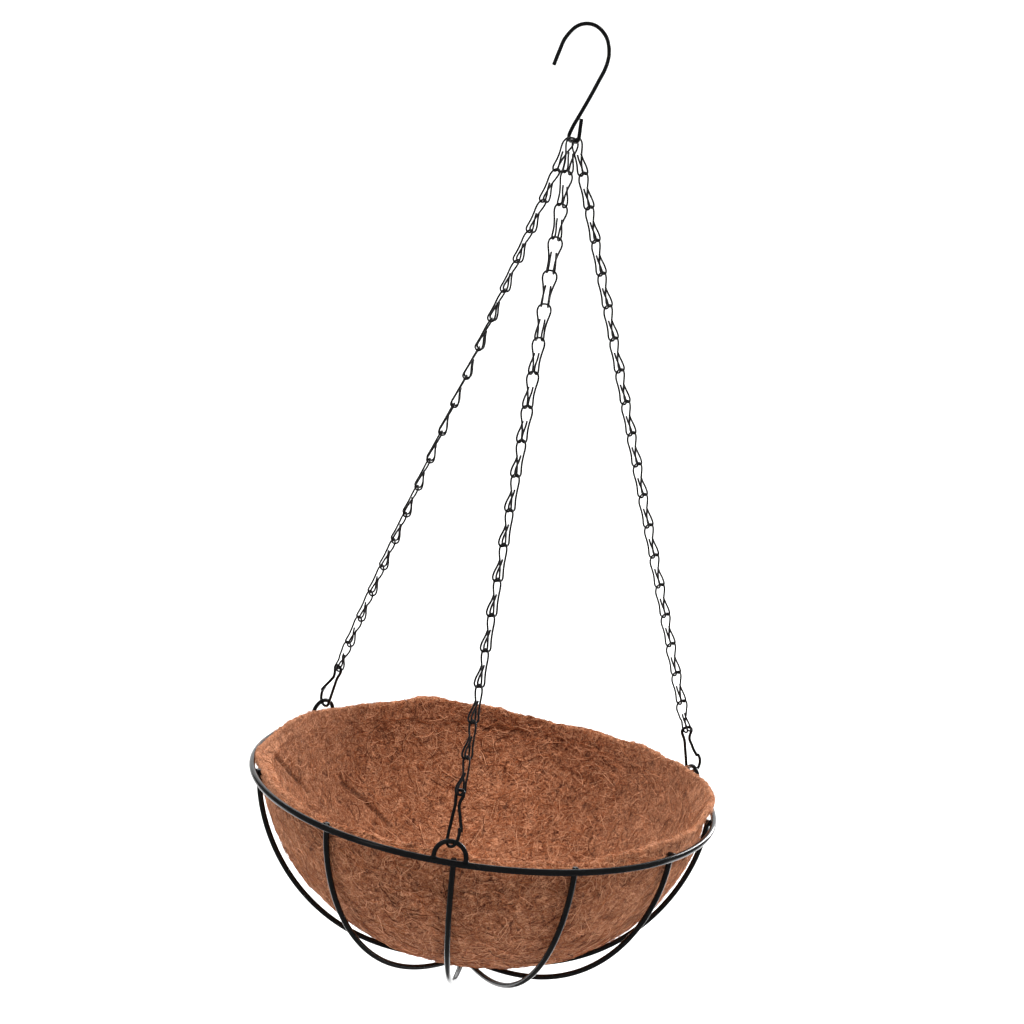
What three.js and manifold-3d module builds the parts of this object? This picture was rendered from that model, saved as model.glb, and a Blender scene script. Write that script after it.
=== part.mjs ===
// Hanging basket: a half-round wire basket with a coir liner, hung by three chains from one hook.
// Millimetres, +Z up. The origin is the hook's saddle: the inside of its upper arc, where it hangs.
// -Y is the front of the basket, the side with the front chain.
import * as THREE from "three";
import { mergeVertices } from "three/addons/utils/BufferGeometryUtils.js";
import Module from "manifold-3d";

// ---- driving dimensions ----
const GAP = 0.3; // clearance kept between separate pieces that touch
const LINK_GAP = 0.45; // and between a link's folds and the next link's eye
const LINK_BITE = 0.5; // the two links that share a node are joined this deep

const RIM_RADIUS = 150; // rim wire's centreline
const RIM_WIRE = 4;
const RIM_Z = -484; // rim plane below the hook's saddle

const RIB_WIRE = 3.6;
const RIB_DEPTH = 119.5; // rib centreline at the bottom of the bowl, below the rim plane
const RIB_POWER_R = 2.48; // the ribs' curve is (r / R)^a + (depth / D)^b = 1, with R at their welded ends
const RIB_POWER_Z = 1.7;
const RIB_STAND = 2.5; // height of the ribs' welded ends above the rim plane
// degrees from the front, towards the right
const RIB_AZIMUTHS = [-4.7, 24, 54, 84, 112.5, 144, 174, 203, 231, 262, 284, 322];
const BOTTOM_RING_RADIUS = 12;
const BOWL_DRIFT = 2.2; // the bottom ring sits this far to the right of the rim's middle

const LOOP_WIRE = 2.9; // D-shaped hanger loops welded on the rim
const LOOP_RADIUS = 9.5;
const LOOP_FOOT = 1.3;

const LINER_RADIUS = 143.2; // outside of the liner at the rim plane
const LINER_DEPTH = 107.4;
const LINER_POWER_R = 2.47;
const LINER_POWER_Z = 1.63;
const LINER_THICKNESS = 7;
const LINER_EDGE_LEAN = 1.7;
// height of the liner's torn top edge above the rim plane, as [degrees from the front, height] keys
const LINER_EDGE = [
  [-90, 8], [-72, 3], [-40, 2.5], [-26, 4], [-6, 8], [6, 3], [17, 4], [28, 3.5], [40, 8], [55, 9], [75, 14],
  [110, 16], [125, 13], [140, 10], [160, 8.5], [182, 12], [200, 15], [216, 10], [245, 13], [270, 8],
];

const HOOK_WIRE = 2.5;
const HOOK_CREST = 70.8; // crest's centreline above the lower bend's centreline
const LOWER_BEND_TURN = -66; // degrees, turn of the lower bend's plane about the vertical
const LOWER_BEND_X = 0.9; // its middle, to the right of the crest
const LOWER_BEND_FLAT = 4; // half of the straight bottom that the chains hang on
const LOWER_BEND_CORNER = 3.5;

const LINK_WIRE = 1.25;
const LINKS = 19; // in each chain
const LINK_PITCH = 21.15;
const LINK_EYE = 4.25; // half width of the eye's centreline
const LINK_WAIST = 2.05; // half distance between the two legs
const FOLD_RADIUS = 2.3; // of the folded ends that hold the next eye
const FOLD_BACK = 0.67; // from the centre of the folds to the next eye's top, in links that just touch
const LINK_END = [1.55, 0.8, 9.6]; // where each leg's folded end stops, in the link's own axes
const LAST_WAIST = 1.4; // the same in the last link, which holds the clip's thicker wire
const LAST_FOLD = 2.6;
const CHAIN_SPACING = 3.6; // between the chains' eyes on the hook

// facets
const WIRE_SIDES = 6;
const LINK_SIDES = 4;
const HOOK_STEPS = 26;
const LOOP_STEPS = 10;
const LINER_SIDES = 36;

const CLIP_WIRE = 2;
const LINK_TO_CLIP = 20; // from the last link's eye to the clip's eye
const ARM_GAP = 0.5; // between the clip's cut end and its arm

// Each chain: the azimuth of its loop, its seat on the hook, the turn of its clip's plane, and the turn
// of its links about the chain as [link, degrees] keys.
const CHAINS = {
  front: {
    azimuth: -5.5,
    seat: -0.05,
    clipTurn: -52,
    turns: [[1, 34], [2, 36], [3, 26], [6, -20], [7, -34], [9, -42], [10, -54], [12, -62], [19, -66]],
  },
  right: {
    azimuth: 112.5,
    seat: 1.15,
    clipTurn: 15,
    turns: [[1, 44], [3, 52], [12, 47], [18, 42], [19, 34]],
  },
  left: {
    azimuth: 231,
    seat: -1.05,
    clipTurn: 135,
    turns: [[1, 40], [2, 54], [5, 66], [9, 90], [13, 102], [18, 122], [19, 128]],
  },
};

// ---- materials ----
const BLACK = new THREE.MeshStandardMaterial({ color: 0x0c0c0d, roughness: 0.3, metalness: 0.2 });
const CHAIN_BLACK = new THREE.MeshStandardMaterial({ color: 0x1b1b1d, roughness: 0.45, metalness: 0.5 });
const COIR = new THREE.MeshStandardMaterial({ color: 0x8a5636, roughness: 1, metalness: 0 });

// ---- helpers ----
const V = (x, y, z) => new THREE.Vector3(x, y, z);
const rad = THREE.MathUtils.degToRad;
// The outward direction at an azimuth counted from the front (-Y) towards the right (+X).
const outwardAt = (degrees) => V(Math.sin(rad(degrees)), -Math.cos(rad(degrees)), 0);
// The horizontal direction at an angle counted from +X towards +Y.
const turned = (degrees) => V(Math.cos(rad(degrees)), Math.sin(rad(degrees)), 0);
const place = (origin, ...terms) =>
  terms.reduce((p, [direction, amount]) => p.addScaledVector(direction, amount), origin.clone());

// A path through given points, one step of the extrusion for each of its segments.
class PointPath extends THREE.Curve {
  constructor(points) {
    super();
    this.points = points;
  }
  getPoint(t, target = new THREE.Vector3()) {
    const steps = this.points.length - 1;
    const index = Math.min(Math.floor(t * steps + 1e-9), steps - 1);
    return target.lerpVectors(this.points[index], this.points[index + 1], t * steps - index);
  }
  getPointAt(u, target) {
    return this.getPoint(u, target);
  }
  getTangentAt(u, target = new THREE.Vector3()) {
    const step = 1e-3;
    const ahead = this.getPoint(Math.min(u + step, 1));
    return target.subVectors(ahead, this.getPoint(Math.max(u - step, 0))).normalize();
  }
}

// A round wire of the given diameter along points, as a prism with so many sides.
function wire(points, diameter, sides) {
  const corner = (i) => turned(((i + 0.5) * 360) / sides).multiplyScalar(diameter / 2);
  const section = new THREE.Shape(Array.from({ length: sides }, (_, i) => corner(i)));
  const path = new PointPath(points);
  return new THREE.ExtrudeGeometry(section, {
    steps: points.length - 1,
    extrudePath: path,
    bevelEnabled: false,
  });
}

function smooth(points, steps) {
  return new THREE.CatmullRomCurve3(points, false, "centripetal").getSpacedPoints(steps);
}

const basket = new THREE.Group();
function add(name, geometry, material) {
  const mesh = new THREE.Mesh(geometry, material);
  mesh.name = name;
  basket.add(mesh);
  return mesh;
}

// ---- joining with manifold-3d ----
const wasm = await Module();
wasm.setup();

function toSolid(geometry) {
  const bare = new THREE.BufferGeometry().setAttribute("position", geometry.getAttribute("position"));
  if (geometry.index) bare.setIndex(geometry.index);
  const merged = mergeVertices(bare, 1e-4);
  const vertProperties = merged.attributes.position.array;
  const triVerts = new Uint32Array(merged.index.array);
  return new wasm.Manifold(new wasm.Mesh({ numProp: 3, vertProperties, triVerts }));
}

function toGeometry(solid) {
  const mesh = solid.getMesh();
  const geometry = new THREE.BufferGeometry();
  geometry.setAttribute("position", new THREE.BufferAttribute(mesh.vertProperties, mesh.numProp));
  geometry.setIndex(new THREE.BufferAttribute(mesh.triVerts, 1));
  geometry.computeVertexNormals();
  return geometry;
}

// ---- hook: an open upper arc, a slanted shank and a lower bend turned across it ----
const LOWER_BEND_Z = HOOK_WIRE / 2 - HOOK_CREST;
const bendTangent = turned(LOWER_BEND_TURN);
const bendMiddle = V(LOWER_BEND_X, 0, LOWER_BEND_Z);

function hook() {
  const at = (x, y, z) => V(x, y, LOWER_BEND_Z + z);
  const bend = (along, z) => place(bendMiddle, [bendTangent, along], [V(0, 0, 1), z]);
  const side = LOWER_BEND_FLAT + LOWER_BEND_CORNER;
  const upper = [
    at(-17.2, 0, 43.7),
    at(-14.9, 0, 52.6),
    at(-12.5, 0, 60.4),
    at(-6.4, 0, 68.4),
    at(0, 0, HOOK_CREST),
    at(6.4, 0, 69.5),
    at(12.6, 0, 63.6),
    at(15.2, 0, 54.5),
    at(14.2, 0, 46.2),
    at(11.4, 0, 38.4),
    at(7.3, 1.2, 27.7),
    at(2.8, 3.6, 16.8),
    at(-0.5, 5.6, 9),
    bend(-side, LOWER_BEND_CORNER),
  ];
  const corner = (centre, from, to) =>
    [0, 0.5, 1].map((t) => {
      const angle = rad(from + (to - from) * t);
      const along = centre + LOWER_BEND_CORNER * Math.cos(angle);
      return bend(along, LOWER_BEND_CORNER + LOWER_BEND_CORNER * Math.sin(angle));
    });
  const corners = [...corner(-LOWER_BEND_FLAT, 180, 270), ...corner(LOWER_BEND_FLAT, 270, 360)];
  const lower = [...corners, bend(side, 14.4)];
  return wire([...smooth(upper, HOOK_STEPS), ...lower.slice(1)], HOOK_WIRE, WIRE_SIDES);
}
add("hook", hook(), BLACK);

// ---- wire basket: rim, ribs and bottom ring ----
add("rim_ring", new THREE.TorusGeometry(RIM_RADIUS, RIM_WIRE / 2, WIRE_SIDES, 48), BLACK).position.z = RIM_Z;
const bottomCircle = new THREE.TorusGeometry(BOTTOM_RING_RADIUS, RIB_WIRE / 2, WIRE_SIDES, 16);
add("bottom_ring", bottomCircle, BLACK).position.set(BOWL_DRIFT, 0, RIM_Z - RIB_DEPTH);

function rib(azimuth) {
  const outward = outwardAt(azimuth);
  const at = (r, z) => place(V((-BOWL_DRIFT * z) / RIB_DEPTH, 0, RIM_Z + z), [outward, r]);
  const weldRadius = RIM_RADIUS - (RIM_WIRE + RIB_WIRE) / 2 - GAP;
  const endRadius = BOTTOM_RING_RADIUS + RIB_WIRE / 2 + GAP;
  const depthAt = (r) => RIB_DEPTH * (1 - (r / weldRadius) ** RIB_POWER_R) ** (1 / RIB_POWER_Z);
  const points = [at(weldRadius, RIB_STAND), at(weldRadius, -1.5)];
  const radii = [145.2, 142.8, 137.5, 129, 117, 101, 83, 63, 39, endRadius];
  for (const r of radii) points.push(at(r, -depthAt(r)));
  return wire(points, RIB_WIRE, WIRE_SIDES);
}
RIB_AZIMUTHS.forEach((azimuth, i) => add("rib_" + String(i + 1).padStart(2, "0"), rib(azimuth), BLACK));

// ---- coir liner: one thick bowl with an uneven top edge ----
function keyed(keys, at) {
  const next = keys.findIndex(([key]) => key >= at);
  if (next === 0) return keys[0][1];
  const [[k0, v0], [k1, v1]] = [keys[next - 1], keys[next]];
  return v0 + ((v1 - v0) * (at - k0)) / (k1 - k0);
}

function liner() {
  const curve = (radius, depth, steps) =>
    Array.from({ length: steps + 1 }, (_, i) => {
      const angle = (Math.PI / 2) * (1 - i / steps);
      const r = radius * Math.cos(angle) ** (2 / LINER_POWER_R);
      const z = -depth * Math.sin(angle) ** (2 / LINER_POWER_Z);
      return new THREE.Vector2(i === 0 ? 0 : r, z);
    });
  const outside = curve(LINER_RADIUS, LINER_DEPTH, 9);
  const inside = curve(LINER_RADIUS - LINER_THICKNESS, LINER_DEPTH - LINER_THICKNESS, 6).reverse();
  const edgeRadius = LINER_RADIUS - LINER_EDGE_LEAN;
  const edge = [new THREE.Vector2(edgeRadius, 1), new THREE.Vector2(edgeRadius - LINER_THICKNESS, 1)];
  const geometry = new THREE.LatheGeometry([...outside, ...edge, ...inside], LINER_SIDES);
  const points = geometry.attributes.position;
  for (let i = 0; i < points.count; i++) {
    const y = points.getY(i);
    points.setX(i, points.getX(i) - (BOWL_DRIFT * Math.min(y, 0)) / RIB_DEPTH);
    if (y <= 0) continue; // the wall; only the edge stands above the rim plane
    const azimuth = (Math.atan2(points.getX(i), points.getZ(i)) * 180) / Math.PI;
    points.setY(i, keyed(LINER_EDGE, azimuth < -90 ? azimuth + 360 : azimuth));
  }
  return geometry;
}
const linerMesh = add("liner", liner(), COIR);
linerMesh.rotation.x = Math.PI / 2;
linerMesh.position.z = RIM_Z;

// ---- chain links ----
// A link is one wire: a wide eye on top, a waist, and two legs whose ends fold up round the next link's
// eye. Its own axes: w across the eye, n towards the folded ends, s down from the eye's top.
function linkOutline(slack, waist, foldRadius) {
  const foldCentre = LINK_PITCH - FOLD_BACK + slack - (foldRadius - FOLD_RADIUS);
  const fold = [0, 60, 120, 180].map((angle) => [
    waist,
    foldRadius * (1 + Math.cos(rad(angle))),
    foldCentre + foldRadius * Math.sin(rad(angle)),
  ]);
  const half = [
    [waist - (LINK_WAIST - LINK_END[0]), LINK_END[1], LINK_END[2]],
    ...fold,
    [waist + 0.1, 0, 14.5],
    [LINK_EYE, 0, 4.4],
    [3, 0, 0.2],
  ];
  const other = half.map(([w, n, s]) => [-w, n, s]).reverse();
  return [...half, ...other];
}

// Hung by its eye and pulled at its folds, a link leans until the two contacts are in line.
const LINK_LEAN = Math.atan2(FOLD_RADIUS + 0.12, LINK_PITCH - 0.15);

function link(origin, down, turn, outline) {
  const across = turned(turn + 180).projectOnPlane(down).normalize();
  const side = new THREE.Vector3().crossVectors(across, down);
  const [c, s] = [Math.cos(LINK_LEAN), Math.sin(LINK_LEAN)];
  const linkDown = place(V(0, 0, 0), [down, c], [side, -s]);
  const linkSide = place(V(0, 0, 0), [side, c], [down, s]);
  const points = outline.map(([w, n, d]) => place(origin, [across, w], [linkSide, n], [linkDown, d]));
  return wire(points, LINK_WIRE, LINK_SIDES);
}

// ---- spring clips ----
// One bent wire each: an eye on top, a straight inner leg, a round bottom and a bulged outer side. The
// outer side's upper part is the sprung arm. Its axes: u outward, s down from the eye's top.
const clipOutline = (length) => [
  [1.75, 5.6],
  [3, 3.9],
  [3.3, 2],
  [2.4, 0.2],
  [-2.4, 0.2],
  [-3.4, 2],
  [-3.3, 4.4],
  [-2.7, 9],
  [-3.6, 18],
  [-4.8, length - 4.6],
  [-4.5, length - 2],
  [-2.8, length - 0.5],
  [-0.2, length],
  [2.5, length - 1.3],
  [4.6, length - 4.4],
  [5.2, length - 7.6],
  [4.5, length - 11.2],
];
// The arm ends beside the clip's cut end, one wire and a gap away from the clip's plane.
const armOutline = (length) => [
  [1.75, 5.6 + ARM_GAP, 0],
  [0.75, 9, 0.1],
  [1.9, 14.5, 1],
  [3.2, length - 12.4, CLIP_WIRE + GAP],
  [4.2, length - 9.2, CLIP_WIRE + GAP],
];

function chain(side, { azimuth, seat, clipTurn, turns }) {
  const onWire = (HOOK_WIRE + LINK_WIRE) / 2 + GAP;
  const top = place(bendMiddle, [V(0, 0, 1), onWire], [bendTangent, seat * CHAIN_SPACING]);
  const loopTop = RIM_WIRE / 2 + GAP + LOOP_FOOT + LOOP_RADIUS;
  const outward = outwardAt(azimuth);
  const loopPoint = place(V(0, 0, RIM_Z + loopTop), [outward, RIM_RADIUS]);
  const down = new THREE.Vector3().subVectors(loopPoint, top);
  const reach = down.length();
  down.normalize();

  // links, two to a node: the joined pair touch, and the next pair hangs with a gap
  for (let first = 1; first <= LINKS; first += 2) {
    const members = first < LINKS ? [first, first + 1] : [first];
    const solids = members.map((number, i) => {
      const origin = place(top, [down, (number - 1) * LINK_PITCH]);
      const slack = i < members.length - 1 ? -LINK_BITE : LINK_GAP;
      const [waist, fold] = number < LINKS ? [LINK_WAIST, FOLD_RADIUS] : [LAST_WAIST, LAST_FOLD];
      const outline = linkOutline(slack, waist, fold);
      return toSolid(link(origin, down, keyed(turns, number), outline));
    });
    const joined = solids.reduce((a, b) => a.add(b));
    const numbers = members.map((n) => String(n).padStart(2, "0")).join("_");
    add("chain_" + side + "_links_" + numbers, toGeometry(joined), CHAIN_BLACK);
  }

  // clip and its sprung arm, in a plane through the chain
  const clipTop = place(top, [down, (LINKS - 1) * LINK_PITCH + LINK_TO_CLIP]);
  const clipOut = turned(clipTurn).projectOnPlane(down).normalize();
  const clipLength = reach - (LINKS - 1) * LINK_PITCH - LINK_TO_CLIP + (LOOP_WIRE + CLIP_WIRE) / 2 + 2 * GAP;
  const clipSide = new THREE.Vector3().crossVectors(clipOut, down);
  const clipPoint = ([u, s, m = 0]) => place(clipTop, [clipOut, u], [down, s], [clipSide, m]);
  add("clip_" + side, wire(clipOutline(clipLength).map(clipPoint), CLIP_WIRE, WIRE_SIDES), BLACK);
  add("clip_arm_" + side, wire(armOutline(clipLength).map(clipPoint), CLIP_WIRE, WIRE_SIDES), BLACK);

  // hanger loop on the rim
  const tangent = turned(azimuth);
  const foot = RIM_WIRE / 2 + GAP;
  const loopAt = (along, z) => place(V(0, 0, RIM_Z + z), [outward, RIM_RADIUS], [tangent, along]);
  const arc = Array.from({ length: LOOP_STEPS + 1 }, (_, i) => {
    const angle = (Math.PI * i) / LOOP_STEPS;
    return loopAt(-LOOP_RADIUS * Math.cos(angle), foot + LOOP_FOOT + LOOP_RADIUS * Math.sin(angle));
  });
  const loopPoints = [loopAt(-LOOP_RADIUS, foot), ...arc, loopAt(LOOP_RADIUS, foot)];
  add("hanger_loop_" + side, wire(loopPoints, LOOP_WIRE, WIRE_SIDES), BLACK);
}
for (const [side, layout] of Object.entries(CHAINS)) chain(side, layout);

export default basket;
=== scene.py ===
import math

import bpy
import numpy as np
from mathutils import Matrix, Vector


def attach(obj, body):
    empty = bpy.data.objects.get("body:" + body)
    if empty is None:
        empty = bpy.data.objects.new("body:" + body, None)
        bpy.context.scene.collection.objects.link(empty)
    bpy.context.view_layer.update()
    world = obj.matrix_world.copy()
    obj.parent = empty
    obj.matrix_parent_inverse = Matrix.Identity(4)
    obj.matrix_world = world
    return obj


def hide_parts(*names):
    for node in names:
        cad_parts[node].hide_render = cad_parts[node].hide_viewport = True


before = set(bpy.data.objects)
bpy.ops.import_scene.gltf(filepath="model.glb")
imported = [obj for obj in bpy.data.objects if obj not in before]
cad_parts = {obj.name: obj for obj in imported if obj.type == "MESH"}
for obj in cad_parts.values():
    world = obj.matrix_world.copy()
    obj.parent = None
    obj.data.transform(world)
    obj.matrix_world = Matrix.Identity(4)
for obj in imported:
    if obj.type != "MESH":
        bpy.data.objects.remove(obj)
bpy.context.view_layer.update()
rng = np.random.default_rng(41)
MM = 0.001
SIDES = ("front", "right", "left")

# ---- sizes, in millimetres, as in the CAD part ----
RIM_RADIUS, RIM_WIRE, RIM_Z = 150, 4, -484
RIB_WIRE, RIB_DEPTH, RIB_POWER_R, RIB_POWER_Z, RIB_STAND = 3.6, 119.5, 2.48, 1.7, 2.5
RIB_AZIMUTHS = (-4.7, 24, 54, 84, 112.5, 144, 174, 203, 231, 262, 284, 322)
BOTTOM_RING_RADIUS, BOWL_DRIFT = 12, 2.2
LOOP_WIRE, LOOP_RADIUS, LOOP_FOOT = 2.9, 9.5, 1.3
LINER_RADIUS, LINER_DEPTH, LINER_POWER_R, LINER_POWER_Z, LINER_THICKNESS = 143.2, 107.4, 2.47, 1.63, 7
HOOK_WIRE, HOOK_CREST, BEND_TURN, BEND_X, BEND_FLAT, BEND_CORNER = 2.5, 70.8, -66, 0.9, 4, 3.5
LINK_WIRE, LINKS, LINK_PITCH, CHAIN_SPACING = 1.25, 19, 21.15, 3.6
CLIP_WIRE, LINK_TO_CLIP, GAP = 2, 20, 0.3
# For each side: azimuth of its loop, the chain's seat along the hook's bend in CHAIN_SPACINGs, how far the
# clip is turned, and how far the links are turned, as (number of the link, degrees).
CHAINS = {
    "front": (
        -5.5, -0.05, -52,
        ((1, 34), (2, 36), (3, 26), (6, -20), (7, -34), (9, -42), (10, -54), (12, -62), (19, -66)),
    ),
    "right": (112.5, 1.15, 15, ((1, 44), (3, 52), (12, 47), (18, 42), (19, 34))),
    "left": (231, -1.05, 135, ((1, 40), (2, 54), (5, 66), (9, 90), (13, 102), (18, 122), (19, 128))),
}  # fmt: skip

# ---- fineness of the meshes ----
SPLINE_STEPS = 16  # points on a curve between two of its given points, before it is stepped evenly
HOOK_STEP, RIB_STEP, LINK_STEP, CLIP_STEP = 0.9, 2.5, 0.75, 0.8  # millimetres along each wire
RIM_STEPS, BOTTOM_RING_STEPS, LOOP_STEPS = 240, 48, 24
WIRE_SIDES, FINE_WIRE_SIDES, CLIP_SIDES, LINK_SIDES = 16, 20, 14, 10
WIRE_CHAMFER = 0.25  # of a wire's radius, at its cut ends
BEAD_LUMPS, BEAD_RINGS, BEAD_SECTORS = 0.08, 8, 14


# ---- small helpers ----
def vec(x, y, z):
    return np.array([x, y, z], float)


def turned(degrees):
    """Level unit vector at an angle from +X; at a loop's or rib's azimuth it runs along the rim."""
    a = math.radians(degrees)
    return vec(math.cos(a), math.sin(a), 0)


def outward_at(azimuth):
    """Level unit vector out of the bowl at an azimuth from the front."""
    a = math.radians(azimuth)
    return vec(math.sin(a), -math.cos(a), 0)


def unit(v):
    return v / np.linalg.norm(v)


def spline(points, step):
    """A smooth centripetal Catmull-Rom curve through points, at about equal steps."""
    p = np.array(points, float)
    ext = np.vstack([2 * p[0] - p[1], p, 2 * p[-1] - p[-2]])
    out = []
    for i in range(1, len(ext) - 2):
        p0, p1, p2, p3 = ext[i - 1 : i + 3]
        t1 = np.linalg.norm(p1 - p0) ** 0.5
        t2 = t1 + np.linalg.norm(p2 - p1) ** 0.5
        t3 = t2 + np.linalg.norm(p3 - p2) ** 0.5
        for t in np.linspace(t1, t2, SPLINE_STEPS + 1)[:-1]:
            a1 = (t1 - t) / t1 * p0 + t / t1 * p1
            a2 = (t2 - t) / (t2 - t1) * p1 + (t - t1) / (t2 - t1) * p2
            a3 = (t3 - t) / (t3 - t2) * p2 + (t - t2) / (t3 - t2) * p3
            b1 = (t2 - t) / t2 * a1 + t / t2 * a2
            b2 = (t3 - t) / (t3 - t1) * a2 + (t - t1) / (t3 - t1) * a3
            out.append((t2 - t) / (t2 - t1) * b1 + (t - t1) / (t2 - t1) * b2)
    out = np.array([*out, p[-1]])
    along = np.concatenate([[0], np.cumsum(np.linalg.norm(np.diff(out, axis=0), axis=1))])
    count = max(3, round(along[-1] / step))
    at = np.linspace(0, along[-1], count + 1)
    return np.stack([np.interp(at, along, out[:, k]) for k in range(3)], 1)


def tube(points, diameter, sides=WIRE_SIDES, closed=False):
    """Vertices and faces of a round wire along points; an open wire's cut ends get a small chamfer."""
    p = np.array(points, float)
    radii = np.full(len(p), diameter / 2)
    if not closed:
        b = WIRE_CHAMFER * diameter / 2
        first, last = unit(p[1] - p[0]), unit(p[-1] - p[-2])
        p = np.vstack([p[0], p[0] + first * b, p[1:-1], p[-1] - last * b, p[-1]])
        radii = np.concatenate([[diameter / 2 - b], np.full(len(p) - 2, diameter / 2), [diameter / 2 - b]])
    n = len(p)
    if closed:
        tangents = np.roll(p, -1, 0) - np.roll(p, 1, 0)
    else:
        tangents = np.gradient(p, axis=0)
    tangents /= np.linalg.norm(tangents, axis=1)[:, None]
    normals = [unit(np.cross(tangents[0], [0.31, 0.27, 0.91]))]  # any direction that no wire starts along
    for i in range(1, n):
        v = normals[-1] - tangents[i] * (normals[-1] @ tangents[i])
        normals.append(unit(v))
    normals = np.array(normals)
    twist = 0.0
    if closed:  # share out what the frame has turned by when it comes round
        back = normals[-1] - tangents[0] * (normals[-1] @ tangents[0])
        side = np.cross(tangents[0], normals[0])
        twist = math.atan2(back @ side, back @ normals[0])
    verts = []
    for i in range(n):
        a = np.arange(sides) * 2 * math.pi / sides - twist * i / n
        side = np.cross(tangents[i], normals[i])
        verts.append(p[i] + radii[i] * (np.cos(a)[:, None] * normals[i] + np.sin(a)[:, None] * side))
    faces = []
    for i in range(n if closed else n - 1):
        j = (i + 1) % n
        for k in range(sides):
            m = (k + 1) % sides
            faces.append((i * sides + k, i * sides + m, j * sides + m, j * sides + k))
    if not closed:
        faces.append(tuple(range(sides))[::-1])
        faces.append(tuple((n - 1) * sides + k for k in range(sides)))
    return np.vstack(verts), faces


def merged(parts):
    """One set of vertices and faces from several."""
    verts, faces, base = [], [], 0
    for v, f in parts:
        verts.append(v)
        faces += [tuple(i + base for i in face) for face in f]
        base += len(v)
    return np.vstack(verts), faces


def build(name, shape, material, body, stands_for=(), flat_ends=True):
    """A new object from vertices in millimetres, riding on a CAD body and standing for CAD nodes."""
    verts, faces = shape
    mesh = bpy.data.meshes.new(name)
    mesh.from_pydata((verts * MM).tolist(), [], faces)
    smooth = [not flat_ends or len(face) <= 4 for face in faces]
    mesh.polygons.foreach_set("use_smooth", smooth)
    mesh.validate()
    mesh.update()
    mesh.materials.append(material)
    obj = bpy.data.objects.new(name, mesh)
    bpy.context.scene.collection.objects.link(obj)
    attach(obj, body)
    if stands_for:
        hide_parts(*stands_for)
    return obj


def bead(centre, axes, radii):
    """A weld bead: an ellipsoid with a slightly uneven skin. axes are three unit vectors."""
    rings, sectors = BEAD_RINGS, BEAD_SECTORS
    phase = rng.uniform(0, 6.28, 6)
    verts, faces = [], []
    for i in range(rings + 1):
        th = math.pi * i / rings
        for k in range(sectors):
            ph = 2 * math.pi * k / sectors
            d = vec(math.sin(th) * math.cos(ph), math.sin(th) * math.sin(ph), math.cos(th))
            lump = math.sin(3 * ph + phase[0]) * math.sin(th) + math.sin(2 * th + 2 * ph + phase[1])
            r = 1 + BEAD_LUMPS * lump / 2
            verts.append(centre + sum(axes[m] * radii[m] * d[m] * r for m in range(3)))
            if i in (0, rings):
                break
    verts = np.array(verts)
    ring = lambda i, k: 1 + (i - 1) * sectors + k % sectors
    last = len(verts) - 1
    for k in range(sectors):
        faces.append((0, ring(1, k), ring(1, k + 1)))
        faces.append((last, ring(rings - 1, k + 1), ring(rings - 1, k)))
        for i in range(1, rings - 1):
            faces.append((ring(i, k), ring(i + 1, k), ring(i + 1, k + 1), ring(i, k + 1)))
    return verts, faces


# ---- vectorised gradient noise ----
NOISE_TABLE = rng.permutation(256)
NOISE_TABLE = np.concatenate([NOISE_TABLE, NOISE_TABLE])
GRADIENTS = rng.normal(size=(256, 3))
GRADIENTS /= np.linalg.norm(GRADIENTS, axis=1)[:, None]


def noise(p):
    """Gradient noise in about -0.7..0.7 at points p, an (n, 3) array in cells."""
    base = np.floor(p).astype(int)
    f = p - base
    w = f * f * f * (f * (f * 6 - 15) + 10)
    total = np.zeros(len(p))
    for dx in (0, 1):
        for dy in (0, 1):
            for dz in (0, 1):
                corner = base + (dx, dy, dz)
                h = NOISE_TABLE[corner[:, 0] & 255]
                h = NOISE_TABLE[(h + corner[:, 1]) & 255]
                h = NOISE_TABLE[(h + corner[:, 2]) & 255]
                dot = ((f - (dx, dy, dz)) * GRADIENTS[h]).sum(1)
                weight = np.abs(1 - dx - w[:, 0]) * np.abs(1 - dy - w[:, 1]) * np.abs(1 - dz - w[:, 2])
                total += dot * weight
    return total


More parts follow.
